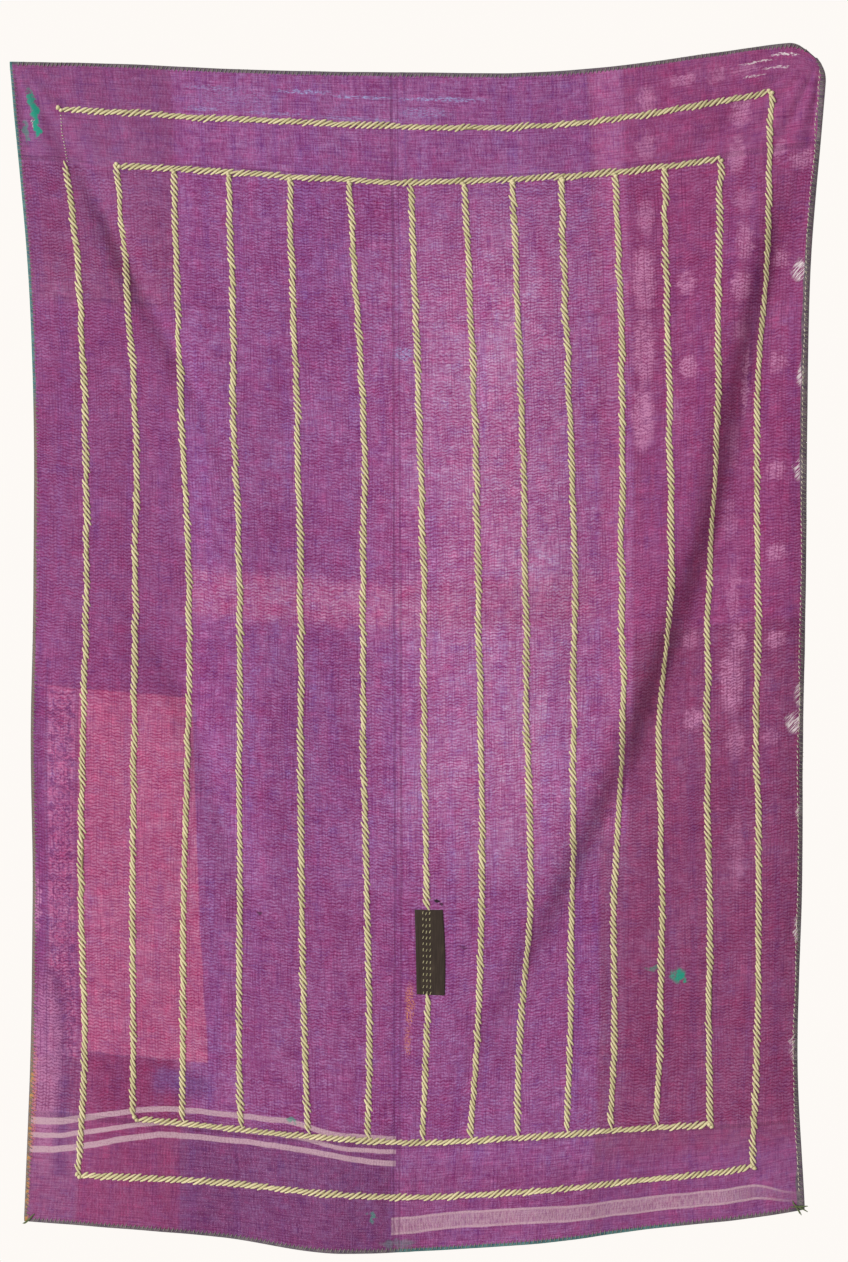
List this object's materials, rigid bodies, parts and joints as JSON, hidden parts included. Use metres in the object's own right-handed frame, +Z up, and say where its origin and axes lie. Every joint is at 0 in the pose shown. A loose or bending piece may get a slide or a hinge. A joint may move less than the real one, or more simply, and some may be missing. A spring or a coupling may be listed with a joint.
{
  "type": "kantha quilt",
  "caption": "Hand-stitched cotton kantha quilt hanging by its top corners, with raised rope-like embroidery lines inside nested frames and a small sewn-on patch.",
  "frame": {"origin": "middle of the top edge, halfway through the cloth", "axes": "+Z up, +X to the right of someone who looks at the face, -Y out of the face"},
  "size_m": [1.5499, 0.0486, 2.2976],
  "materials": {
    "quilted_cotton": "matte worn cotton, overdyed purple",
    "patch_cotton": "matte dark cotton",
    "embroidery_cotton": "soft twisted cotton thread, pale yellow-green",
    "backing_cotton": "matte worn cotton"
  },
  "bodies": {
    "root": {"quilt": "quilted_cotton", "patch": "patch_cotton"}
  },
  "joints": []
}
